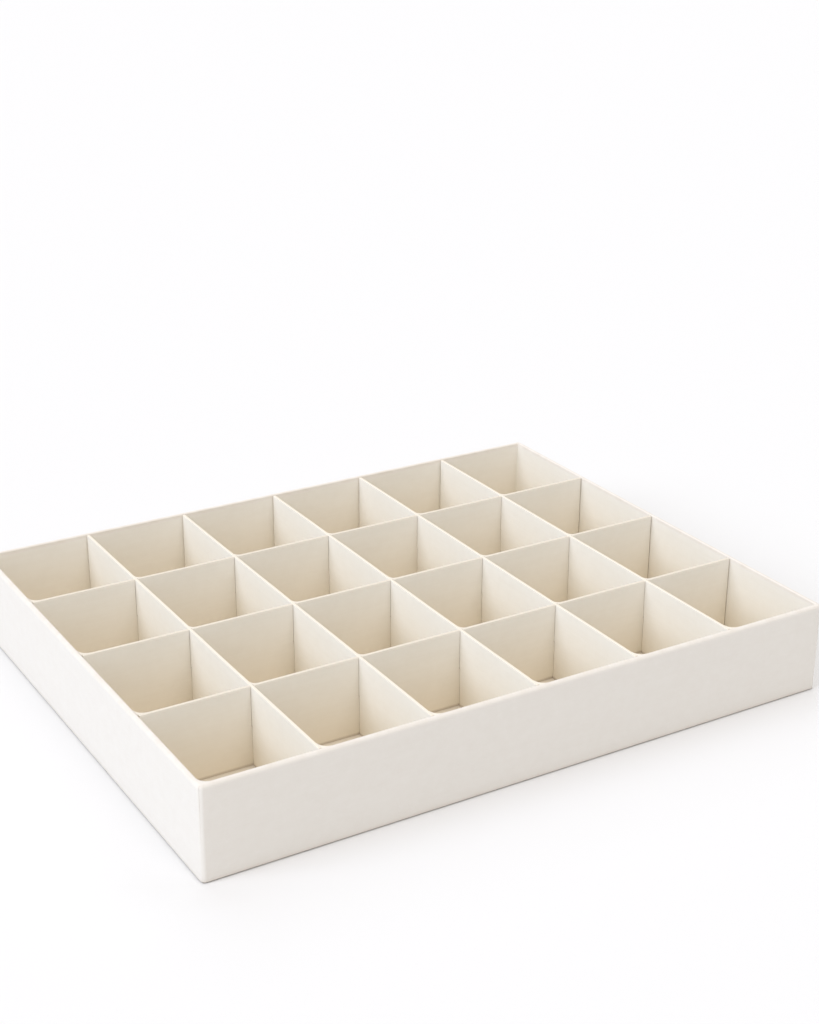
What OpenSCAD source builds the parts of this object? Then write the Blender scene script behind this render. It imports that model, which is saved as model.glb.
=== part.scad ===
// Divided chocolate tray: a rigid paper-wrapped tray that holds a loose grid of slotted board dividers.
// The grid makes six compartments along the tray and four across it.
// Origin: the middle of the tray's underside. X runs along the tray, Y across it and Z up.
// All sizes are in millimetres.

/* [Tray] */
// Outside length of the tray, along X
tray_length = 203; // [150:1:320]
// Outside width of the tray, along Y
tray_width = 160; // [110:1:260]
// Outside height of the tray
tray_height = 28; // [18:0.5:60]
// Thickness of the wrapped board in the walls
wall_thickness = 1.6; // [1.2:0.1:3]
// Thickness of the base, from the table to the floor of the compartments
floor_thickness = 3.4; // [1.5:0.1:5]
// Radius of the upright corners on the outside
outer_corner_radius = 1.5; // [0.8:0.1:3]
// Radius of the upright corners on the inside
inner_corner_radius = 0.8; // [0.3:0.1:3]
// Rounding of the rim where the paper folds over it
rim_rounding = 0.5; // [0.2:0.05:0.6]
// Rounding of the outside edge underneath
foot_rounding = 0.4; // [0.1:0.05:0.6]

/* [Dividers] */
// Thickness of the board in the dividers
divider_thickness = 0.9; // [0.5:0.05:1.5]
// Distance from the rim down to the top of the dividers
divider_drop = 0.2; // [0:0.1:6]
// Gap between the end of a divider and the wall
end_gap = 0.3; // [0.1:0.05:1]
// Gap on each side of a divider in the slot that it crosses
slot_side_gap = 0.15; // [0.05:0.05:0.4]
// Gap between the bottoms of the two slots where dividers cross
slot_meeting_gap = 0.3; // [0.1:0.05:1]

/* [Hidden] */
// Compartments along the tray and across it
columns = 6;
rows = 4;
// Space between the walls
inner_length = tray_length - 2 * wall_thickness;
inner_width = tray_width - 2 * wall_thickness;
// From the middle of one divider to the middle of the next
column_pitch = (inner_length + divider_thickness) / columns;
row_pitch = (inner_width + divider_thickness) / rows;
// The dividers stand on the floor
divider_height = tray_height - divider_drop - floor_thickness;
slot_width = divider_thickness + 2 * slot_side_gap;
slot_depth = (divider_height + slot_meeting_gap) / 2;
// Cutters run this far past the faces that they cut
past = 1;
paper_colour = [0.96, 0.93, 0.87];
divider_colour = [0.93, 0.89, 0.81];
$fn = 64;

// Position of a divider that stands across the tray, counted from the left wall
function column_edge(index) = -inner_length / 2 - divider_thickness / 2 + index * column_pitch;

// Position of a divider that runs along the tray, counted from the front wall
function row_edge(index) = -inner_width / 2 - divider_thickness / 2 + index * row_pitch;

// A plate with rounded upright corners, standing on Z = 0
module rounded_plate(length, width, radius, height) {
    translate([-length / 2 + radius, -width / 2, 0]) cube([length - 2 * radius, width, height]);
    translate([-length / 2, -width / 2 + radius, 0]) cube([length, width - 2 * radius, height]);
    for (x = [-1, 1], y = [-1, 1])
        translate([x * (length / 2 - radius), y * (width / 2 - radius), 0])
            cylinder(r = radius, h = height);
}

// What an edge loses when it is rounded, for an edge at the origin with the board at lower X and Y.
// Reach is how far the cutter runs past the face along X.
module edge_waste(radius, reach = past) {
    difference() {
        translate([-radius, -radius]) square([radius + reach, radius + past]);
        translate([-radius, -radius]) circle(r = radius);
    }
}

// Sweeps a flat shape round a plate's outline. Its X runs outwards from the centre of a corner, its Y up.
module sweep_round(length, width, radius) {
    half_x = length / 2 - radius;
    half_y = width / 2 - radius;
    for (side = [0, 180]) {
        rotate([0, 0, side]) translate([half_x, 0, 0]) straight_run(2 * half_y) children();
        rotate([0, 0, side + 90]) translate([half_y, 0, 0]) straight_run(2 * half_x) children();
    }
    for (x = [-1, 1], y = [-1, 1]) {
        turn = x > 0 ? (y > 0 ? 0 : 270) : (y > 0 ? 90 : 180);
        translate([x * half_x, y * half_y, 0]) rotate([0, 0, turn]) rotate_extrude(angle = 90) children();
    }
}

// Draws a flat shape out along Y, half of the length to each side of the origin
module straight_run(length) {
    rotate([90, 0, 0]) translate([0, 0, -length / 2]) linear_extrude(height = length) children();
}

module tray() {
    color(paper_colour) difference() {
        rounded_plate(tray_length, tray_width, outer_corner_radius, tray_height);
        translate([0, 0, floor_thickness])
            rounded_plate(inner_length, inner_width, inner_corner_radius, tray_height);
        sweep_round(tray_length, tray_width, outer_corner_radius) {
            translate([outer_corner_radius, tray_height]) edge_waste(rim_rounding);
        }
        sweep_round(inner_length, inner_width, inner_corner_radius) {
            translate([inner_corner_radius, tray_height])
                mirror([1, 0]) edge_waste(rim_rounding, inner_corner_radius / 2);
        }
        sweep_round(tray_length, tray_width, outer_corner_radius) {
            translate([outer_corner_radius, 0]) mirror([0, 1]) edge_waste(foot_rounding);
        }
    }
}

// A divider along the tray, with slots that open upwards
module long_divider(index) {
    length = inner_length - 2 * end_gap;
    front_face = row_edge(index) - divider_thickness / 2;
    slot_floor = floor_thickness + divider_height - slot_depth;
    color(divider_colour) difference() {
        translate([-length / 2, front_face, floor_thickness])
            cube([length, divider_thickness, divider_height]);
        for (column = [1 : columns - 1])
            translate([column_edge(column) - slot_width / 2, front_face - past, slot_floor])
                cube([slot_width, divider_thickness + 2 * past, slot_depth + past]);
    }
}

// A divider across the tray, with slots that open downwards
module short_divider(index) {
    length = inner_width - 2 * end_gap;
    left_face = column_edge(index) - divider_thickness / 2;
    color(divider_colour) difference() {
        translate([left_face, -length / 2, floor_thickness])
            cube([divider_thickness, length, divider_height]);
        for (row = [1 : rows - 1])
            translate([left_face - past, row_edge(row) - slot_width / 2, floor_thickness - past])
                cube([divider_thickness + 2 * past, slot_width, slot_depth + past]);
    }
}

module long_divider_1() { long_divider(1); }
module long_divider_2() { long_divider(2); }
module long_divider_3() { long_divider(3); }
module short_divider_1() { short_divider(1); }
module short_divider_2() { short_divider(2); }
module short_divider_3() { short_divider(3); }
module short_divider_4() { short_divider(4); }
module short_divider_5() { short_divider(5); }

tray();
long_divider_1();
long_divider_2();
long_divider_3();
short_divider_1();
short_divider_2();
short_divider_3();
short_divider_4();
short_divider_5();
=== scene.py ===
import math
import bmesh
import bpy
from mathutils import Matrix, Vector


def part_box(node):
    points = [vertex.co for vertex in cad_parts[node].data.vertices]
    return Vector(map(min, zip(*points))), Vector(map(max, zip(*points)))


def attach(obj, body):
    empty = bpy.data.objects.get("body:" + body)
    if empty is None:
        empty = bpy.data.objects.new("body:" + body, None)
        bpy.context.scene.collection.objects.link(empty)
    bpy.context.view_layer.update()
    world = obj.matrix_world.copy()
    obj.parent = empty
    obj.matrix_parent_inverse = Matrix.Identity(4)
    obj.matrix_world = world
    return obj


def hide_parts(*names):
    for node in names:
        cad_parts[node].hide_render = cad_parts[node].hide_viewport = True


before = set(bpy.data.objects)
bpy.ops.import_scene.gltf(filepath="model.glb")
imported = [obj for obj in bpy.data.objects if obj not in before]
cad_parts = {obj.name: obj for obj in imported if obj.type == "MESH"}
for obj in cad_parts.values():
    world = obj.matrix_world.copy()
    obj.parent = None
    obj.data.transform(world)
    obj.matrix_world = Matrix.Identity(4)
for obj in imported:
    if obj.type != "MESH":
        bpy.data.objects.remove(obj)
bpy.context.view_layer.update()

MM = 0.001

# ---------------------------------------------------------------- sizes
# As in the part's source
WALL = 1.6 * MM
FLOOR_TOP = 3.4 * MM
OUTER_CORNER = 1.5 * MM
FOOT_ROUNDING = 0.4 * MM
DIVIDER_THICKNESS = 0.9 * MM
SLOT_MEETING_GAP = 0.3 * MM
COLUMNS, ROWS = 6, 4

# Closer than in the source: the slots' side gaps, and the lining pressed into the corners
SLOT_GAP = 0.09 * MM
INNER_CORNER = 0.4 * MM

TRAY_LOW, TRAY_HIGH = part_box("tray")
HALF_LENGTH = (TRAY_HIGH.x - TRAY_LOW.x) / 2
HALF_WIDTH = (TRAY_HIGH.y - TRAY_LOW.y) / 2
TRAY_HEIGHT = TRAY_HIGH.z - TRAY_LOW.z
INNER_HALF_LENGTH, INNER_HALF_WIDTH = HALF_LENGTH - WALL, HALF_WIDTH - WALL
DIVIDER_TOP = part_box("long_divider_1")[1].z

# The wrap: how thick it is, its margin turned in underneath, and how deep the base board lies inside that
PAPER = 0.12 * MM
TURN_IN = 14 * MM
BOARD_RECESS = 1.3 * PAPER
# The lining's rounding where the walls meet the floor
FLOOR_FILLET = 0.35 * MM
# The side panels' flaps go part of the way round the upright corners, in degrees, and end in a small step
FLAP_END = 40.0
FLAP_STEP = 0.6
# The tray's corners on the way round it, far right, far left, near left and near right,
# and where the straight wall after each of them faces
CORNERS = ((1, 1), (-1, 1), (-1, -1), (1, -1))
WALLS_FACE = ((0, 1, 0), (-1, 0, 0), (0, -1, 0), (1, 0, 0))
NEAR_LEFT = 2
# Each corner is made of turns of this many degrees, and each straight wall of this many lengths
CORNER_TURN = 9.0
WALL_LENGTHS = 24
# The wrap is drawn softly over the outer edge of the rim and pressed closer on the inner one
RIM_OUTSIDE = 1.05 * MM
RIM_INSIDE = 0.45 * MM
# How far from the rim and from the foot the wrap's edge tone reaches: painted shade on the lit rim and along
# the foot
EDGE_TONE_REACH = 1.4 * MM
# The lining is drawn round the near left corner of every compartment, further at a wall than at a crossing
WALL_BEAD = 2.9 * MM
CROSSING_BEAD = 1.6 * MM
# Radius of the hollow face of such a corner, as a share of its size
BEAD_HOLLOW = 0.98
# A divider bows by up to half of this between its crossings, in ripples of this many to a metre,
# and its cut edges are a little soft
BOARD_BOW = 0.7 * MM
BOW_RIPPLES = 14.0
SOFT_EDGE = 0.14 * MM

# ---------------------------------------------------------------- painted shade, joints and texture
# Painted shade, darkest in the crease round each floor.
# Up the sides and out over the floor: how far the shade reaches, and how strong it is
CREASE_SHADE_COLOUR = (0.42, 0.34, 0.25)
CREASE_UP, CREASE_ON_SIDES = 0.95 * MM, 0.72
CREASE_OUT, CREASE_ON_FLOOR = 0.6 * MM, 0.2
# Painted shade: what the paper's colour is multiplied by at the bottom of a compartment, darker and warmer
DEPTH_SHADE_TINT = (0.945, 0.874, 0.757)
# Painted shade along the edge that the tray stands on, and the darker lines where the turned-in margins meet
FOOT_SHADE_COLOUR, FOOT_SHADE_AMOUNT = (0.46, 0.42, 0.385), 0.68
MITRE_COLOUR, MITRE_AMOUNT = (0.42, 0.38, 0.33), 0.55
# Height of the relief in paper and cut board at full strength
RELIEF = 0.03 * MM
# How much the fibres show in the colour of a sheet and of a cut edge
FIBRES_IN_SHEET, FIBRES_IN_CUT = 0.35, 0.3
# Size of the patches that break up the painted edge tone, and how much rougher the paper is there
EDGE_TONE_PATCH, EDGE_ROUGHNESS = 4 * MM, 0.08
# The grain: distance between its streaks, and their thickness as a share of their length
GRAIN_PITCH, GRAIN_STRETCH = 1.1 * MM, 0.05
# The layers of a cut board: radians of their wave across its thickness, and how far the fibres bend it
LAYER_WAVE, LAYER_BEND = 19.0, 1.4

# ---------------------------------------------------------------- stage
TABLE_HALF = 6.0
TABLE_DROP = 0.15 * MM
TABLE_SEEN, TABLE_LIT = (0.838, 0.840, 0.845), (0.60, 0.60, 0.60)
ROOM_COLOUR, ROOM_STRENGTH = (1.0, 0.962, 0.875, 1.0), 0.635
WHITE = (1.0, 1.0, 1.0, 1.0)
COOL_DAYLIGHT = (0.95, 1.01, 1.15)
ROSY_FILL = (1.02, 0.945, 0.955)
# The camera: azimuth, elevation and roll in degrees, where it stands in metres, and its lens in millimetres
VIEW_TURNS = (-31.198, 22.723, 0.430)
VIEW_PLACE = (-0.25265, -0.42767, 0.25815)
LENS, SENSOR = 63.14, 36.0


# ---------------------------------------------------------------- small helpers
def new_object(name, data):
    obj = bpy.data.objects.new(name, data)
    bpy.context.scene.collection.objects.link(obj)
    return obj


def feed(tree, socket, value):
    """Gives a socket a plain value, a colour or another node's output. None leaves it as it is."""
    if value is None:
        return
    if isinstance(value, tuple):
        socket.default_value = (*value, 1.0) if socket.type == "RGBA" and len(value) == 3 else value
    elif isinstance(value, (int, float, str)):
        socket.default_value = value
    else:
        tree.links.new(value, socket)


def add_node(tree, kind, place, inputs=None, **settings):
    """A node with its settings made and its sockets, given by name or number, fed."""
    node = tree.nodes.new(kind)
    node.location = place
    for key, value in settings.items():
        setattr(node, key, value)
    for key, value in (inputs or {}).items():
        feed(tree, node.inputs[key], value)
    return node


def add_sockets(tree, in_out, kind, *names):
    for name in names:
        tree.interface.new_socket(name, in_out=in_out, socket_type="NodeSocket" + kind)


def math_node(tree, operation, place, first, second=None, clamp=False):
    settings = {"operation": operation, "use_clamp": clamp}
    return add_node(tree, "ShaderNodeMath", place, {0: first, 1: second}, **settings).outputs[0]


def remap(tree, value, place, low, high, to_low=0.0, to_high=1.0):
    inputs = {"Value": value, "From Min": low, "From Max": high, "To Min": to_low, "To Max": to_high}
    return add_node(tree, "ShaderNodeMapRange", place, inputs, clamp=True).outputs["Result"]


def mix_colour(tree, factor, first, second, place, blend_type="MIX"):
    node = add_node(tree, "ShaderNodeMix", place, {"Factor": factor}, data_type="RGBA", blend_type=blend_type)
    # the node has sockets of every kind under the same names: only its colour ones count here
    for socket, value in zip([s for s in node.inputs if s.type == "RGBA"], (first, second)):
        feed(tree, socket, value)
    return next(s for s in node.outputs if s.type == "RGBA")


def vector_node(tree, place, x=None, y=None, z=None):
    return add_node(tree, "ShaderNodeCombineXYZ", place, {0: x, 1: y, 2: z}).outputs[0]


def split_vector(tree, place, vector):
    return add_node(tree, "ShaderNodeSeparateXYZ", place, {"Vector": vector}).outputs


def object_point(tree, place):
    """X, Y and Z on the object's own coordinates."""
    where = add_node(tree, "ShaderNodeTexCoord", place).outputs["Object"]
    return split_vector(tree, (place[0] + 200, place[1]), where)


def mesh_value(tree, name, place):
    """A value that the mesh holds for each of its points."""
    return add_node(tree, "ShaderNodeAttribute", place, attribute_name=name).outputs["Fac"]


# ---------------------------------------------------------------- shared surface effects
def build_paper_formation():
    """How pulp settles in a sheet: soft clouds, short fibres, fine tooth, and the grain along the board."""
    group = bpy.data.node_groups.new("paper_formation", "ShaderNodeTree")
    add_sockets(group, "INPUT", "Float", "Cloud Size", "Fibre Size", "Sheet")
    add_sockets(group, "OUTPUT", "Float", "Cloud", "Fibre", "Tooth", "Grain")
    enter = add_node(group, "NodeGroupInput", (-1200, 0)).outputs
    leave = add_node(group, "NodeGroupOutput", (800, 0)).inputs
    where = add_node(group, "ShaderNodeTexCoord", (-1200, 300)).outputs["Object"]

    cloud = add_node(group, "ShaderNodeTexNoise", (-700, 300), {
        "Scale": math_node(group, "DIVIDE", (-950, 200), 1.0, enter["Cloud Size"]),
        "Detail": 3.0, "Roughness": 0.55, "Vector": where, "W": enter["Sheet"]}, noise_dimensions="4D")
    feed(group, leave["Cloud"], remap(group, cloud.outputs["Fac"], (-450, 300), 0.32, 0.68))

    # fibres are short streaks: the same noise squeezed along two crossing directions
    streaks = []
    for row, squeeze in enumerate(((1.0, 0.22, 1.0), (0.22, 1.0, 0.3))):
        level = -100 - 300 * row
        stretch = add_node(group, "ShaderNodeMapping", (-900, level), {
            "Vector": where, "Rotation": (0.4 + row, 0.3 - row, 0.5 + 0.8 * row), "Scale": squeeze})
        fibre = add_node(group, "ShaderNodeTexNoise", (-700, level), {
            "Scale": math_node(group, "DIVIDE", (-950, level - 150), 1.0, enter["Fibre Size"]),
            "Detail": 2.0, "Distortion": 0.6, "Vector": stretch.outputs["Vector"],
            "W": enter["Sheet"]}, noise_dimensions="4D")
        streaks.append(fibre.outputs["Fac"])
    both = math_node(group, "MAXIMUM", (-450, -200), *streaks)
    feed(group, leave["Fibre"], remap(group, both, (-250, -200), 0.5, 0.78))

    # the grain runs level round the walls and along the boards: long streaks, one above the other
    drawn = add_node(group, "ShaderNodeMapping", (-900, -1000), {
        "Vector": where, "Scale": (GRAIN_STRETCH, GRAIN_STRETCH, 1.0)})
    grain = add_node(group, "ShaderNodeTexNoise", (-700, -1000), {
        "Scale": 1.0 / GRAIN_PITCH, "Detail": 3.0, "Vector": drawn.outputs["Vector"]})
    feed(group, leave["Grain"], remap(group, grain.outputs["Fac"], (-450, -1000), 0.35, 0.65))

    tooth = add_node(group, "ShaderNodeTexNoise", (-700, -750), {
        "Scale": math_node(group, "DIVIDE", (-950, -750), 2.5, enter["Fibre Size"]),
        "Detail": 4.0, "Roughness": 0.7, "Vector": where})
    pressed = math_node(group, "MULTIPLY", (-250, -600), both, 0.6)
    feed(group, leave["Tooth"], math_node(group, "ADD", (0, -600), tooth.outputs["Fac"], pressed))
    return group


def build_edge_tone_mask():
    """The mask for the painted edge tone and the rougher edges: an edge value from the mesh, broken up by the
    sheet's own unevenness.
    """
    group = bpy.data.node_groups.new("edge_tone_mask", "ShaderNodeTree")
    add_sockets(group, "INPUT", "Float", "Edge", "Patch Size", "Amount")
    add_sockets(group, "OUTPUT", "Float", "Mask")
    enter = add_node(group, "NodeGroupInput", (-900, 0)).outputs
    leave = add_node(group, "NodeGroupOutput", (500, 0)).inputs
    patch = add_node(group, "ShaderNodeTexNoise", (-500, 250), {
        "Scale": math_node(group, "DIVIDE", (-700, 150), 1.0, enter["Patch Size"]), "Detail": 3.0,
        "Vector": add_node(group, "ShaderNodeTexCoord", (-900, 250)).outputs["Object"]})
    broken = remap(group, patch.outputs["Fac"], (-300, 250), 0.35, 0.65, 0.55, 1.0)
    edge_tone = math_node(group, "MULTIPLY", (-100, 100), broken, enter["Edge"])
    feed(group, leave["Mask"], math_node(group, "MULTIPLY", (100, 0), edge_tone, enter["Amount"], clamp=True))
    return group


PAPER_FORMATION = build_paper_formation()
EDGE_TONE_MASK = build_edge_tone_mask()


# ---------------------------------------------------------------- materials
def start_material(name, specular):
    material = bpy.data.materials.new(name)
    material.use_nodes = True
    shader = material.node_tree.nodes["Principled BSDF"]
    shader.inputs["Specular IOR Level"].default_value = specular
    return material, material.node_tree, shader


def add_formation(tree, cloud_size, fibre_size, sheet):
    inputs = {"Cloud Size": cloud_size, "Fibre Size": fibre_size, "Sheet": sheet}
    return add_node(tree, "ShaderNodeGroup", (-1100, 200), inputs, node_tree=PAPER_FORMATION).outputs


def add_relief(tree, shader, height, strength):
    inputs = {"Height": height, "Strength": strength, "Distance": RELIEF}
    relief = add_node(tree, "ShaderNodeBump", (-300, -350), inputs)
    feed(tree, shader.inputs["Normal"], relief.outputs["Normal"])


def paper_material(name, light, dark, fleck, cloud_size, fibre_size, sheet, bump, roughness, edge,
                   edge_colour, specular=0.35, grain=0.2, extra=None):
    """Smooth wrap or board paper. Edge gives how much of the painted edge tone each point takes, extra adds
    painted shade and marks of its own.
    """
    material, tree, shader = start_material(name, specular)
    formation = add_formation(tree, cloud_size, fibre_size, sheet)
    uneven = math_node(tree, "SUBTRACT", (-1250, 500), formation["Grain"], 0.5)
    streaked = math_node(tree, "MULTIPLY", (-1100, 500), uneven, grain * 2)
    tone = math_node(tree, "ADD", (-950, 500), formation["Cloud"], streaked, clamp=True)
    base = mix_colour(tree, tone, dark, light, (-800, 400))
    fibres = math_node(tree, "MULTIPLY", (-800, 100), formation["Fibre"], FIBRES_IN_SHEET)
    flecked = mix_colour(tree, fibres, base, fleck, (-550, 350))
    edge_tone_inputs = {"Edge": edge(tree), "Patch Size": EDGE_TONE_PATCH, "Amount": 1.0}
    edge_tone = add_node(tree, "ShaderNodeGroup", (-900, -250), edge_tone_inputs, node_tree=EDGE_TONE_MASK).outputs["Mask"]
    colour = mix_colour(tree, edge_tone, flecked, edge_colour, (-300, 300))
    feed(tree, shader.inputs["Base Color"], extra(tree, colour) if extra else colour)
    smooth, rough = roughness
    sheet_roughness = remap(tree, formation["Cloud"], (-550, 0), 0.0, 1.0, rough, smooth)
    edge_rough = math_node(tree, "MULTIPLY", (-550, -150), edge_tone, EDGE_ROUGHNESS)
    feed(tree, shader.inputs["Roughness"], math_node(tree, "ADD", (-300, 0), sheet_roughness, edge_rough))
    add_relief(tree, shader, formation["Tooth"], bump)
    return material


def edge_from_mesh(tree):
    return mesh_value(tree, "edge", (-1300, -250))


def edge_from_top(tree):
    """Dividers take the edge tone only along their top edge, a painted highlight there."""
    height = object_point(tree, (-1700, -250))["Z"]
    return remap(tree, height, (-1300, -250), DIVIDER_TOP - 0.8 * MM, DIVIDER_TOP)


def shade_over_depth(tree, colour):
    """Painted shade down in the compartments: the paper turns darker and warmer towards the floor, and
    darkest in the crease at the floor.
    """
    height = object_point(tree, (-1300, -900))["Z"]
    depth = remap(tree, height, (-900, -900), FLOOR_TOP, TRAY_HEIGHT - 1.0 * MM, 1.0, 0.0)
    crease = remap(tree, height, (-900, -1150), FLOOR_TOP, FLOOR_TOP + CREASE_UP, CREASE_ON_SIDES, 0.0)
    deep = mix_colour(tree, depth, colour, DEPTH_SHADE_TINT, (-150, 200), blend_type="MULTIPLY")
    return mix_colour(tree, crease, deep, CREASE_SHADE_COLOUR, (0, 200))


def crease_shade_on_floor(tree, colour):
    """Painted shade on the floor, darker towards the walls and the boards that stand on it."""
    point = object_point(tree, (-1500, -900))
    side = DIVIDER_THICKNESS / 2
    ways = (("X", INNER_HALF_LENGTH, COLUMNS, -900), ("Y", INNER_HALF_WIDTH, ROWS, -1100))
    away = []
    for axis, half, count, level in ways:
        pitch = 2 * (half + side) / count
        along = math_node(tree, "ADD", (-1100, level), point[axis], half + side)
        away.append(math_node(tree, "PINGPONG", (-950, level), along, pitch / 2))
    nearest = math_node(tree, "MINIMUM", (-750, -1000), *away)
    crease = remap(tree, nearest, (-550, -1000), side, side + CREASE_OUT, CREASE_ON_FLOOR, 0.0)
    return mix_colour(tree, crease, colour, CREASE_SHADE_COLOUR, (0, 200))


def foot_shade_and_mitres(tree, colour):
    """The darker lines between the margins underneath, and painted shade along the edge that the tray stands
    on.
    """
    foot = math_node(tree, "MULTIPLY", (-300, -1300), mesh_value(tree, "foot", (-1300, -1300)), FOOT_SHADE_AMOUNT)
    return mix_colour(tree, foot, mitre_lines(tree, colour), FOOT_SHADE_COLOUR, (0, 200))


def mitre_lines(tree, colour):
    """Underneath, the turned-in margins meet on a diagonal at each corner: a thin darker line there."""
    point = object_point(tree, (-1300, -900))
    inwards = []
    for axis, half, level in (("X", HALF_LENGTH, -850), ("Y", HALF_WIDTH, -1000)):
        out = math_node(tree, "ABSOLUTE", (-1000, level), point[axis])
        inwards.append(math_node(tree, "SUBTRACT", (-900, level), out, half))
    apart = math_node(tree, "ABSOLUTE", (-600, -900), math_node(tree, "SUBTRACT", (-750, -900), *inwards))
    line = remap(tree, apart, (-450, -900), 0.05 * MM, 0.22 * MM, 1.0, 0.0)
    low = remap(tree, point["Z"], (-450, -1100), 0.05 * MM, 0.3 * MM, 1.0, 0.0)
    both = math_node(tree, "MULTIPLY", (-300, -1000), line, low)
    mask = math_node(tree, "MULTIPLY", (-250, -950), both, MITRE_AMOUNT)
    return mix_colour(tree, mask, colour, MITRE_COLOUR, (-100, 200))


def cut_edge_material(name, light, dark, shade):
    """Cut board: fine layers across its thickness, and a slightly open, fibrous surface."""
    material, tree, shader = start_material(name, specular=0.2)
    formation = add_formation(tree, cloud_size=1.5 * MM, fibre_size=0.2 * MM, sheet=11.0)
    turns = math_node(tree, "MULTIPLY", (-1000, -100), mesh_value(tree, "across", (-1300, -100)), LAYER_WAVE)
    bend = math_node(tree, "MULTIPLY", (-1100, -250), formation["Tooth"], LAYER_BEND)
    wave = math_node(tree, "SINE", (-700, -150), math_node(tree, "ADD", (-850, -150), turns, bend))
    layer = remap(tree, wave, (-550, -150), -1.0, 1.0)
    base = mix_colour(tree, layer, dark, light, (-350, 200))
    open_fibre = math_node(tree, "MULTIPLY", (-350, 0), formation["Fibre"], FIBRES_IN_CUT)
    feed(tree, shader.inputs["Base Color"], mix_colour(tree, open_fibre, base, shade, (-150, 200)))
    roughness = remap(tree, formation["Cloud"], (-350, -100), 0.0, 1.0, 0.86, 0.76)
    feed(tree, shader.inputs["Roughness"], roughness)
    add_relief(tree, shader, math_node(tree, "ADD", (-450, -350), layer, formation["Tooth"]), 0.3)
    return material


# The wrap's edge tone is darker than the sheet: painted shade on the lit top of the rim and along the foot
WRAP_PAPER = paper_material(
    "tray_wrap_paper",
    light=(0.890, 0.868, 0.832), dark=(0.876, 0.850, 0.812), fleck=(0.935, 0.91, 0.885),
    cloud_size=3.5 * MM, fibre_size=0.35 * MM, sheet=0.0, bump=0.10, roughness=(0.52, 0.64),
    edge=edge_from_mesh, edge_colour=(0.797, 0.746, 0.685), extra=foot_shade_and_mitres)
# The lining takes a slightly darker edge tone at its top, painted shade with the rim, and painted shade down
# in the compartments
LINING_PAPER = paper_material(
    "lining_paper",
    light=(0.877, 0.860, 0.812), dark=(0.861, 0.840, 0.788), fleck=(0.895, 0.88, 0.84),
    cloud_size=3.0 * MM, fibre_size=0.4 * MM, sheet=5.0, bump=0.12, roughness=(0.56, 0.68), grain=0.3,
    edge=edge_from_mesh, edge_colour=(0.88, 0.83, 0.76), specular=0.3, extra=shade_over_depth)
# The floor's lining is the lining paper darker and warmer, as at the bottom of the compartments: painted
# shade
FLOOR_LINING_SHADED = paper_material(
    "floor_lining_shaded",
    light=(0.83, 0.765, 0.655), dark=(0.80, 0.735, 0.62), fleck=(0.86, 0.805, 0.71),
    cloud_size=3.0 * MM, fibre_size=0.4 * MM, sheet=9.0, bump=0.12, roughness=(0.60, 0.72),
    edge=edge_from_mesh, edge_colour=(0.80, 0.73, 0.62), specular=0.25, extra=crease_shade_on_floor)
BASE_BOARD = paper_material(
    "base_board",
    light=(0.80, 0.77, 0.72), dark=(0.72, 0.69, 0.64), fleck=(0.60, 0.56, 0.50),
    cloud_size=2.5 * MM, fibre_size=0.6 * MM, sheet=3.0, bump=0.3, roughness=(0.75, 0.88),
    edge=edge_from_mesh, edge_colour=(0.80, 0.77, 0.72), specular=0.2)
# The dividers' edge tone is lighter than the sheet: a painted highlight along their tops, with painted shade
# down in the compartments
DIVIDER_PAPER = paper_material(
    "divider_paper",
    light=(0.877, 0.860, 0.812), dark=(0.861, 0.840, 0.788), fleck=(0.895, 0.88, 0.84),
    cloud_size=3.0 * MM, fibre_size=0.4 * MM, sheet=7.0, bump=0.12, roughness=(0.56, 0.68), grain=0.3,
    edge=edge_from_top, edge_colour=(0.92, 0.885, 0.83), specular=0.3, extra=shade_over_depth)
# The boards along the tray get a darker copy of the cut edge than those across it: painted shade on their top
# edges
CUT_ACROSS = cut_edge_material(
    "cut_edge_across", light=(0.885, 0.828, 0.728), dark=(0.845, 0.780, 0.675), shade=(0.80, 0.735, 0.62))
CUT_ALONG_SHADED = cut_edge_material(
    "cut_edge_along_shaded", light=(0.815, 0.760, 0.668), dark=(0.778, 0.717, 0.620), shade=(0.74, 0.68, 0.575))
TRAY_MATERIALS = (WRAP_PAPER, BASE_BOARD, LINING_PAPER, FLOOR_LINING_SHADED)


# ---------------------------------------------------------------- the wrapped tray
def arc(centre, radius, start, end, steps):
    """Points on a circle, in degrees, both ends included."""
    turns = [math.radians(start + (end - start) * k / steps) for k in range(steps + 1)]
    return [(centre[0] + radius * math.cos(t), centre[1] + radius * math.sin(t)) for t in turns]


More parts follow.
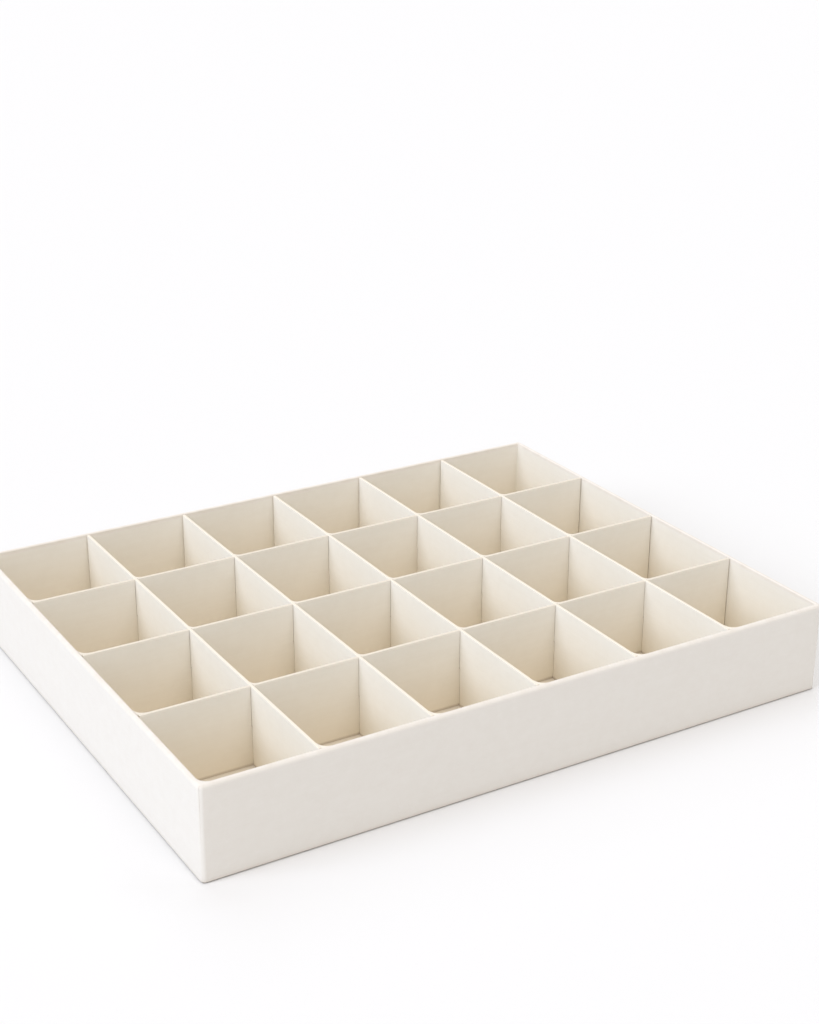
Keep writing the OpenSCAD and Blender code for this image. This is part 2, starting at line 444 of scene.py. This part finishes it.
def wall_section():
    """The wall seen on its end, from the underside round to the floor.

    A point holds its depth in from the outer face, its height and how much of the edge tone it takes, painted
    shade at the rim and foot."""
    top = TRAY_HEIGHT
    points = [(TURN_IN, 0.0, 0.0), (TURN_IN * 0.5, 0.0, 0.0), (2.0 * MM, 0.0, 0.2)]
    # the foot takes the edge tone too: painted shade along the edge the tray stands on
    for x, z in arc((FOOT_ROUNDING, FOOT_ROUNDING), FOOT_ROUNDING, 270, 180, 4):
        points.append((x, z, 0.7))
    points.append((0.0, EDGE_TONE_REACH, 0.15))
    # plain levels in between, here and on the inside, keep the faces even
    for z in (4 * MM, top * 0.35, top * 0.65, top - 4 * MM, top - EDGE_TONE_REACH):
        points.append((0.0, z, 0.0))
    # the edge tone grows towards the top of the rim: painted shade on the lit rim
    for x, z in arc((RIM_OUTSIDE, top - RIM_OUTSIDE), RIM_OUTSIDE, 180, 90, 8):
        points.append((x, z, min(1.0, 1.15 * (z - top + RIM_OUTSIDE) / RIM_OUTSIDE)))
    for x, z in arc((WALL - RIM_INSIDE, top - RIM_INSIDE), RIM_INSIDE, 90, 0, 5):
        points.append((x, z, 1.0))
    points.append((WALL, top - EDGE_TONE_REACH, 0.1))
    for z in (top - 4 * MM, top * 0.6, FLOOR_TOP + 4 * MM):
        points.append((WALL, z, 0.0))
    for x, z in arc((WALL + FLOOR_FILLET, FLOOR_TOP + FLOOR_FILLET), FLOOR_FILLET, 180, 270, 4):
        points.append((x, z, 0.0))
    return points


def corner_turns(side_first):
    """Degrees from one panel round to the next, with the step at the end of the flap on the way."""
    turns = [CORNER_TURN * k for k in range(int(90 / CORNER_TURN) + 1)]
    turns = [turn for turn in turns if abs(turn - FLAP_END) > CORNER_TURN / 3]
    turns += [FLAP_END, FLAP_END + FLAP_STEP]
    return sorted(turn if side_first else 90.0 - turn for turn in turns)


def corner_centre(corner, half_length, half_width, radius):
    return Vector((corner[0] * (half_length - radius), corner[1] * (half_width - radius), 0))


def inner_radius_of(number):
    """The lining is drawn round the near left corner and pressed into the other three."""
    return WALL_BEAD if number == NEAR_LEFT else INNER_CORNER


def rim_path():
    """The way round the tray, stop by stop.

    A stop holds a point of the outer face, a point of the inner face, the way out,
    and how far the wrap stands back there."""
    path = []
    for number, (corner, wall_faces) in enumerate(zip(CORNERS, WALLS_FACE)):
        inner_radius = inner_radius_of(number)
        outer_centre = corner_centre(corner, HALF_LENGTH, HALF_WIDTH, OUTER_CORNER)
        inner_centre = corner_centre(corner, INNER_HALF_LENGTH, INNER_HALF_WIDTH, inner_radius)
        # at two of the corners the way round starts from a side panel, which is the one with the flap
        side_first = number in (0, 2)
        for turn in corner_turns(side_first):
            from_side = turn if side_first else 90.0 - turn
            angle = math.radians(90 * number + turn)
            out = Vector((math.cos(angle), math.sin(angle), 0))
            past_flap = from_side > FLAP_END + 0.5 * FLAP_STEP
            stand_back = PAPER * (90.0 - from_side) / (90.0 - FLAP_END) if past_flap else 0.0
            outer, inner = outer_centre + out * OUTER_CORNER, inner_centre + out * inner_radius
            path.append((outer, inner, out, stand_back))
        # the straight wall that follows this corner
        out = Vector(wall_faces)
        direction = Vector((-out.y, out.x, 0))
        outer_half, inner_half = (HALF_WIDTH, INNER_HALF_WIDTH) if out.x else (HALF_LENGTH, INNER_HALF_LENGTH)
        outer_length = 2 * (outer_half - OUTER_CORNER)
        inner_length = 2 * inner_half - inner_radius - inner_radius_of(number + 1)
        for k in range(1, WALL_LENGTHS):
            outer = outer_centre + out * OUTER_CORNER + direction * (outer_length * k / WALL_LENGTHS)
            inner = inner_centre + out * inner_radius + direction * (inner_length * k / WALL_LENGTHS)
            path.append((outer, inner, out, 0.0))
    return path


def pulled_in(place, depth):
    """A point of the outline moved straight in from both walls, so that margins meet on a mitre."""
    x_limit, y_limit = HALF_LENGTH - depth, HALF_WIDTH - depth
    return Vector((max(-x_limit, min(x_limit, place.x)), max(-y_limit, min(y_limit, place.y)), 0))


def wall_point(outer, inner, out, stand_back, depth, height):
    """Where a point of the wall's section lies at one place of the path round the tray."""
    if height < 0.001 * MM:
        place = pulled_in(outer, depth)
    elif depth < WALL - 1.01 * RIM_INSIDE:
        # only the outside of the wall carries the flap's step, and it is pressed flat below the middle
        opened = 0.15 + 0.85 * max(0.0, min(1.0, (height / TRAY_HEIGHT - 0.4) / 0.5))
        clear_of_ends = 0.2 * MM < height < TRAY_HEIGHT - 0.2 * MM
        place = outer - out * (depth + (stand_back * opened if clear_of_ends else 0.0))
    else:
        place = inner + out * (WALL - depth)
    return place + Vector((0, 0, height))


def finish_of(depth, height):
    """What covers the wall from this point of its section on, as a number in TRAY_MATERIALS."""
    finish = LINING_PAPER
    if depth < WALL - 1e-9 or height > TRAY_HEIGHT - 1.0 * MM:
        finish = WRAP_PAPER
    elif height <= FLOOR_TOP + FLOOR_FILLET + 1e-9:
        finish = FLOOR_LINING_SHADED
    return TRAY_MATERIALS.index(finish)


def build_tray():
    section, path = wall_section(), rim_path()
    mesh = bmesh.new()
    edge_layer = mesh.verts.layers.float.new("edge")
    foot_layer = mesh.verts.layers.float.new("foot")
    rings = []
    for depth, height, edge in section:
        ring = [mesh.verts.new(wall_point(*stop, depth, height)) for stop in path]
        for vert in ring:
            vert[edge_layer] = edge
            # the foot value marks where the painted foot shade goes
            vert[foot_layer] = 1.0 if height < FOOT_ROUNDING * 0.9 and depth < 1.0 * MM else 0.0
        rings.append(ring)
    count = len(path)
    after = [(k + 1) % count for k in range(count)]
    # the step at the end of each flap keeps crisp edges on the outside
    steps = [k for k in range(count) if abs(path[k][3] - path[after[k]][3]) > 0.5 * PAPER]
    flap_edges = set(steps) | {after[k] for k in steps}
    for (depth, height, _), low, high in zip(section, rings, rings[1:]):
        for k in range(count):
            face = mesh.faces.new((low[k], low[after[k]], high[after[k]], high[k]))
            face.material_index = finish_of(depth, height)
            face.smooth = True
            if k in flap_edges and depth < WALL - 1e-9:
                mesh.edges.get((low[k], high[k])).smooth = False
    floor = mesh.faces.new(rings[-1])
    floor.material_index = TRAY_MATERIALS.index(FLOOR_LINING_SHADED)
    # underneath, the base board shows inside the turned-in margin, a little deeper than its paper
    margin = rings[0]
    board = [mesh.verts.new(vert.co + Vector((0, 0, BOARD_RECESS))) for vert in margin]
    for k in range(count):
        mesh.faces.new((board[k], board[after[k]], margin[after[k]], margin[k]))
    under = mesh.faces.new(list(reversed(board)))
    under.material_index = TRAY_MATERIALS.index(BASE_BOARD)
    bmesh.ops.remove_doubles(mesh, verts=mesh.verts, dist=0.001 * MM)
    bmesh.ops.recalc_face_normals(mesh, faces=mesh.faces)
    data = bpy.data.meshes.new("wrapped_tray")
    mesh.to_mesh(data)
    mesh.free()
    for material in TRAY_MATERIALS:
        data.materials.append(material)
    return new_object("wrapped_tray", data)


# ---------------------------------------------------------------- slotted dividers
def start_shape_tree(name, sizes, count):
    """A tree with named sizes, a count and its two materials, and the geometry that it gives."""
    tree = bpy.data.node_groups.new(name, "GeometryNodeTree")
    add_sockets(tree, "INPUT", "Geometry", "Geometry")
    add_sockets(tree, "INPUT", "Float", *sizes)
    add_sockets(tree, "INPUT", "Int", count)
    add_sockets(tree, "INPUT", "Material", "Paper", "Cut Edge")
    add_sockets(tree, "OUTPUT", "Geometry", "Geometry")
    return tree, add_node(tree, "NodeGroupInput", (-1600, 0)).outputs


def finish_shape_tree(tree, shape, enter, axis, operation, place):
    """Paper on the whole shape, then cut board where the faces turn along one axis, or away from it."""
    x, y = place
    normal = add_node(tree, "GeometryNodeInputNormal", (x - 600, y - 300)).outputs["Normal"]
    facing = split_vector(tree, (x - 400, y - 300), normal)[axis]
    turned = math_node(tree, "ABSOLUTE", (x - 200, y - 300), facing)
    is_cut = add_node(tree, "FunctionNodeCompare", (x, y - 300), {"A": turned, "B": 0.5},
                      data_type="FLOAT", operation=operation)
    whole = add_node(tree, "GeometryNodeRealizeInstances", (x - 200, y), {"Geometry": shape})
    papered = add_node(tree, "GeometryNodeSetMaterial", (x, y), {
        "Geometry": whole.outputs["Geometry"], "Material": enter["Paper"]})
    edged = add_node(tree, "GeometryNodeSetMaterial", (x + 250, y), {
        "Geometry": papered.outputs["Geometry"], "Selection": is_cut.outputs["Result"],
        "Material": enter["Cut Edge"]})
    add_node(tree, "NodeGroupOutput", (x + 500, y), {"Geometry": edged.outputs["Geometry"]})


def moved(tree, shape, place, x=None, y=None, z=None):
    where = vector_node(tree, (place[0] - 150, place[1] - 150), x, y, z)
    inputs = {"Geometry": shape, "Translation": where}
    return add_node(tree, "GeometryNodeTransform", place, inputs).outputs["Geometry"]


def build_strip_tree():
    """A board strip with equal slots cut from one long edge, built along X and standing on Z = 0."""
    tree, enter = start_shape_tree("slotted_strip", (
        "Length", "Height", "Thickness", "First Slot", "Slot Pitch", "Slot Width", "Slot Middle",
        "Slot Height", "Bow", "Seed"), "Slots")

    # the plain strip, fine enough along its length to take a slight bow
    board = add_node(tree, "GeometryNodeMeshCube", (-1100, 300), {
        "Size": vector_node(tree, (-1300, 300), enter["Length"], enter["Thickness"], enter["Height"]),
        "Vertices X": 49, "Vertices Y": 2, "Vertices Z": 5})
    half = math_node(tree, "MULTIPLY", (-1100, 100), enter["Height"], 0.5)
    standing = moved(tree, board.outputs["Mesh"], (-850, 300), z=half)

    # one cutter for each crossing
    row = add_node(tree, "GeometryNodeMeshLine", (-850, -100), {
        "Count": enter["Slots"],
        "Start Location": vector_node(tree, (-1100, -100), enter["First Slot"], None, enter["Slot Middle"]),
        "Offset": vector_node(tree, (-1100, -250), enter["Slot Pitch"])}, mode="OFFSET")
    wide = math_node(tree, "MULTIPLY", (-1250, -450), enter["Thickness"], 4.0)
    cutter = add_node(tree, "GeometryNodeMeshCube", (-850, -400), {
        "Size": vector_node(tree, (-1100, -400), enter["Slot Width"], wide, enter["Slot Height"])})
    spread = add_node(tree, "GeometryNodeInstanceOnPoints", (-600, -200), {
        "Points": row.outputs["Mesh"], "Instance": cutter.outputs["Mesh"]})
    cutters = add_node(tree, "GeometryNodeRealizeInstances", (-400, -200), {
        "Geometry": spread.outputs["Instances"]})
    cut = add_node(tree, "GeometryNodeMeshBoolean", (-150, 100), {
        "Mesh 1": standing, "Mesh 2": cutters.outputs["Geometry"]}, operation="DIFFERENCE", solver="EXACT")

    # keep where each point lies across the board, for the layers on the cut edges
    position = add_node(tree, "GeometryNodeInputPosition", (-150, -300)).outputs["Position"]
    point = split_vector(tree, (0, -300), position)
    across = math_node(tree, "DIVIDE", (150, -300), point["Y"], enter["Thickness"])
    kept = add_node(tree, "GeometryNodeStoreNamedAttribute", (300, 100), {
        "Name": "across", "Geometry": cut.outputs["Mesh"], "Value": across},
        data_type="FLOAT", domain="POINT")

    # board never stays dead flat: it sways a little between its crossings
    ripple = add_node(tree, "ShaderNodeTexNoise", (150, -550), {
        "Vector": vector_node(tree, (0, -600), point["X"]), "W": enter["Seed"],
        "Scale": BOW_RIPPLES, "Detail": 0.0}, noise_dimensions="4D")
    uneven = math_node(tree, "SUBTRACT", (350, -500), ripple.outputs["Fac"], 0.5)
    lean = math_node(tree, "MULTIPLY", (500, -500), uneven, enter["Bow"])
    from_slot = math_node(tree, "SUBTRACT", (150, -750), point["X"], enter["First Slot"])
    slots_along = math_node(tree, "DIVIDE", (300, -750), from_slot, enter["Slot Pitch"])
    turns = math_node(tree, "MULTIPLY", (450, -750), slots_along, math.pi)
    between = math_node(tree, "ABSOLUTE", (750, -750), math_node(tree, "SINE", (600, -750), turns))
    sway = math_node(tree, "MULTIPLY", (650, -600), lean, between)
    bowed = add_node(tree, "GeometryNodeSetPosition", (600, 100), {
        "Geometry": kept.outputs["Geometry"], "Offset": vector_node(tree, (600, -400), None, sway)})

    # cut board shows on every narrow side
    finish_shape_tree(tree, bowed.outputs["Geometry"], enter, "Y", "LESS_THAN", (1100, 100))
    return tree


def build_bead_tree():
    """The drawn-round corners along a strip: one at its wall end, and a smaller one at each crossing."""
    tree, enter = start_shape_tree("corner_beads", (
        "Size", "Crossing Size", "Height", "Start", "Pitch", "Side", "Turn"), "Beads")
    size, height = enter["Size"], enter["Height"]

    # one upright block, with a round cutter taken out of its outer corner
    half = math_node(tree, "MULTIPLY", (-1400, 200), size, 0.5)
    half_height = math_node(tree, "MULTIPLY", (-1400, 50), height, 0.5)
    block = add_node(tree, "GeometryNodeMeshCube", (-1200, 400), {
        "Size": vector_node(tree, (-1350, 400), size, size, height)})
    hollow = add_node(tree, "GeometryNodeMeshCylinder", (-1200, -200), {
        "Vertices": 64, "Radius": math_node(tree, "MULTIPLY", (-1350, -200), size, BEAD_HOLLOW),
        "Depth": math_node(tree, "MULTIPLY", (-1350, -350), height, 2.0)})
    bead = add_node(tree, "GeometryNodeMeshBoolean", (-600, 200), {
        "Mesh 1": moved(tree, block.outputs["Mesh"], (-900, 400), half, half, half_height),
        "Mesh 2": moved(tree, hollow.outputs["Mesh"], (-900, -200), size, size, half_height)},
        operation="DIFFERENCE", solver="EXACT")

    # the first one stands at the wall at full size, the rest at the crossings
    row = add_node(tree, "GeometryNodeMeshLine", (-600, -200), {
        "Count": enter["Beads"],
        "Start Location": vector_node(tree, (-750, -200), enter["Start"], enter["Side"]),
        "Offset": vector_node(tree, (-750, -350), enter["Pitch"])}, mode="OFFSET")
    index = add_node(tree, "GeometryNodeInputIndex", (-600, -500)).outputs["Index"]
    at_wall = math_node(tree, "LESS_THAN", (-450, -500), index, 0.5)
    ratio = math_node(tree, "DIVIDE", (-450, -650), enter["Crossing Size"], size)
    grown = math_node(tree, "MAXIMUM", (-300, -550), at_wall, ratio)
    spread = add_node(tree, "GeometryNodeInstanceOnPoints", (-200, 0), {
        "Points": row.outputs["Mesh"], "Instance": bead.outputs["Mesh"],
        "Rotation": vector_node(tree, (-350, -300), None, None, enter["Turn"]),
        "Scale": vector_node(tree, (-250, -400), grown, grown, 1.0)})

    # cut board shows on the flat ends
    finish_shape_tree(tree, spread.outputs["Instances"], enter, "Z", "GREATER_THAN", (500, 0))
    return tree


STRIP_TREE = build_strip_tree()
BEAD_TREE = build_bead_tree()


def set_tree_inputs(modifier, values):
    for item in modifier.node_group.interface.items_tree:
        if item.item_type == "SOCKET" and item.in_out == "INPUT" and item.name in values:
            modifier[item.identifier] = values[item.name]


def plain_mesh(name, tree, values, bevel=0.0):
    """The shape that a tree gives for these values, as a plain mesh with its edges softened."""
    carrier = new_object(name, bpy.data.meshes.new(name))
    modifier = carrier.modifiers.new("shape", "NODES")
    modifier.node_group = tree
    set_tree_inputs(modifier, values)
    if bevel:
        soften = carrier.modifiers.new("softened_edges", "BEVEL")
        soften.width = bevel
        soften.segments = 2
        soften.limit_method = "ANGLE"
        soften.angle_limit = math.radians(50)
    data = bpy.data.meshes.new_from_object(carrier.evaluated_get(bpy.context.evaluated_depsgraph_get()))
    carrier.modifiers.clear()
    bpy.data.objects.remove(carrier)
    return data


def add_beads(board, beads):
    """Joins the beads to the board's mesh, each face with its own finish and with crisp edges."""
    slot_of = {material: index for index, material in enumerate(board.materials)}
    both = bmesh.new()
    both.from_mesh(board)
    first_bead_face = len(both.faces)
    both.from_mesh(beads)
    both.faces.ensure_lookup_table()
    for face in both.faces[first_bead_face:]:
        face.material_index = slot_of[beads.materials[face.material_index]]
        face.smooth = True
        for edge in face.edges:
            if edge.calc_face_angle(0.0) > math.radians(40):
                edge.smooth = False
    return both


def build_divider(name, node, slots, from_top, seed):
    """A divider in the place of its node in the frame, which gives its length, height and position."""
    low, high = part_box(node)
    size, middle = high - low, (low + high) / 2
    runs_along = size.x > size.y
    length, thickness = max(size.x, size.y), min(size.x, size.y)
    inner = 2 * (INNER_HALF_LENGTH if runs_along else INNER_HALF_WIDTH)
    pitch = (inner + DIVIDER_THICKNESS) / (slots + 1)
    finishes = {"Paper": DIVIDER_PAPER, "Cut Edge": CUT_ALONG_SHADED if runs_along else CUT_ACROSS}
    board = plain_mesh(name + "_strip", STRIP_TREE, {
        "Length": length, "Height": size.z, "Thickness": thickness,
        "First Slot": -pitch * (slots - 1) / 2, "Slot Pitch": pitch, "Slots": slots,
        "Slot Width": DIVIDER_THICKNESS + 2 * SLOT_GAP,
        "Slot Middle": size.z if from_top else 0.0, "Slot Height": size.z + SLOT_MEETING_GAP,
        "Bow": BOARD_BOW, "Seed": seed, **finishes}, bevel=SOFT_EDGE)
    # a board across the tray has a bead on its right at the wall and at every crossing,
    # a board along it only the one at the left wall
    side = thickness / 2 if runs_along else -thickness / 2
    beads = plain_mesh(name + "_corners", BEAD_TREE, {
        "Size": WALL_BEAD, "Crossing Size": CROSSING_BEAD, "Height": size.z,
        "Start": -inner / 2, "Pitch": pitch, "Side": side,
        "Turn": 0.0 if runs_along else math.radians(-90),
        "Beads": 1 if runs_along else slots + 1, **finishes})
    both = add_beads(board, beads)
    turn = Matrix.Identity(4) if runs_along else Matrix.Rotation(math.radians(90), 4, "Z")
    both.transform(Matrix.Translation((middle.x, middle.y, low.z)) @ turn)
    both.to_mesh(board)
    both.free()
    board.name = name
    return new_object(name, board)


# ---------------------------------------------------------------- the object
tray = build_tray()
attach(tray, "root")
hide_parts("tray")

for number in range(1, ROWS):
    divider = build_divider(
        "board_along_%d" % number, "long_divider_%d" % number, slots=COLUMNS - 1, from_top=True,
        seed=3.0 * number)
    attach(divider, "root")
    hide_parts("long_divider_%d" % number)

for number in range(1, COLUMNS):
    divider = build_divider(
        "board_across_%d" % number, "short_divider_%d" % number, slots=ROWS - 1, from_top=False,
        seed=20.0 + 5.0 * number)
    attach(divider, "root")
    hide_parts("short_divider_%d" % number)


# ---------------------------------------------------------------- table, lights and camera
def table_material():
    """White where it is seen, and duller where it only throws light back on the tray."""
    material, tree, shader = start_material("white_table", specular=0.0)
    shader.inputs["Roughness"].default_value = 0.9
    path = add_node(tree, "ShaderNodeLightPath", (-600, 200)).outputs
    seen = math_node(tree, "MAXIMUM", (-400, 200), path["Is Camera Ray"], path["Is Glossy Ray"])
    colour = mix_colour(tree, seen, TABLE_LIT, TABLE_SEEN, (-200, 100))
    feed(tree, shader.inputs["Base Color"], colour)
    return material


def build_table():
    mesh = bmesh.new()
    corners = ((-1, -1), (1, -1), (1, 1), (-1, 1))
    mesh.faces.new([mesh.verts.new((x * TABLE_HALF, y * TABLE_HALF, -TABLE_DROP)) for x, y in corners])
    data = bpy.data.meshes.new("table_top")
    mesh.to_mesh(data)
    mesh.free()
    data.materials.append(table_material())
    table = new_object("table_top", data)


def build_world():
    """A warm room that lights the tray, and plain white where the camera looks past the table."""
    world = bpy.data.worlds.new("soft_room")
    world.use_nodes = True
    tree = world.node_tree
    room = tree.nodes["Background"]
    room.inputs["Color"].default_value = ROOM_COLOUR
    room.inputs["Strength"].default_value = ROOM_STRENGTH
    backdrop = add_node(tree, "ShaderNodeBackground", (0, -200), {"Color": WHITE, "Strength": 1.0})
    path = add_node(tree, "ShaderNodeLightPath", (-400, 200))
    choose = add_node(tree, "ShaderNodeMixShader", (250, 0), {
        "Fac": path.outputs["Is Camera Ray"],
        1: room.outputs["Background"], 2: backdrop.outputs["Background"]})
    feed(tree, tree.nodes["World Output"].inputs["Surface"], choose.outputs["Shader"])
    bpy.context.scene.world = world


def add_soft_lamp(name, right, behind, elevation, spread, power, colour):
    """A broad, far lamp. Right and behind give its side of the tray, elevation and spread are in degrees."""
    lamp = bpy.data.lights.new(name, "SUN")
    lamp.energy = power
    lamp.angle = math.radians(spread)
    lamp.color = colour
    level = Vector((right, behind, 0)).normalized()
    rise = math.radians(elevation)
    towards = level * math.cos(rise) + Vector((0, 0, math.sin(rise)))
    obj = new_object(name, lamp)
    obj.rotation_mode = "QUATERNION"
    obj.rotation_quaternion = towards.to_track_quat("Z", "Y")


def build_camera():
    """The photograph's view: low over the near left corner of the tray, turned to look across it."""
    azimuth, elevation, roll = (math.radians(turn) for turn in VIEW_TURNS)
    level = math.cos(elevation)
    back = Vector((math.sin(azimuth) * level, -math.cos(azimuth) * level, math.sin(elevation)))
    right = Vector((0, 0, 1)).cross(back).normalized()
    up = back.cross(right)
    rolled_right = right * math.cos(roll) + up * math.sin(roll)
    rolled_up = up * math.cos(roll) - right * math.sin(roll)
    view = bpy.data.cameras.new("photo_view")
    view.sensor_fit = "AUTO"
    view.sensor_width = SENSOR
    view.lens = LENS
    view.clip_start = 0.01
    view.clip_end = 50.0
    camera = new_object("photo_view", view)
    turn = Matrix((rolled_right, rolled_up, back)).transposed()
    camera.matrix_world = Matrix.Translation(VIEW_PLACE) @ turn.to_4x4()
    bpy.context.scene.camera = camera


build_table()
build_world()
add_soft_lamp(
    "window_left", right=-1.0, behind=0.04, elevation=34, spread=36, power=1.475, colour=COOL_DAYLIGHT)
add_soft_lamp(
    "fill_front", right=0.0, behind=-1.0, elevation=50, spread=36, power=0.645, colour=ROSY_FILL)
add_soft_lamp(
    "fill_right", right=1.0, behind=0.0, elevation=50, spread=36, power=0.25, colour=COOL_DAYLIGHT)
add_soft_lamp(
    "fill_back", right=0.3, behind=1.0, elevation=52, spread=50, power=0.36, colour=COOL_DAYLIGHT)
build_camera()
bpy.context.scene.view_settings.view_transform = "Standard"
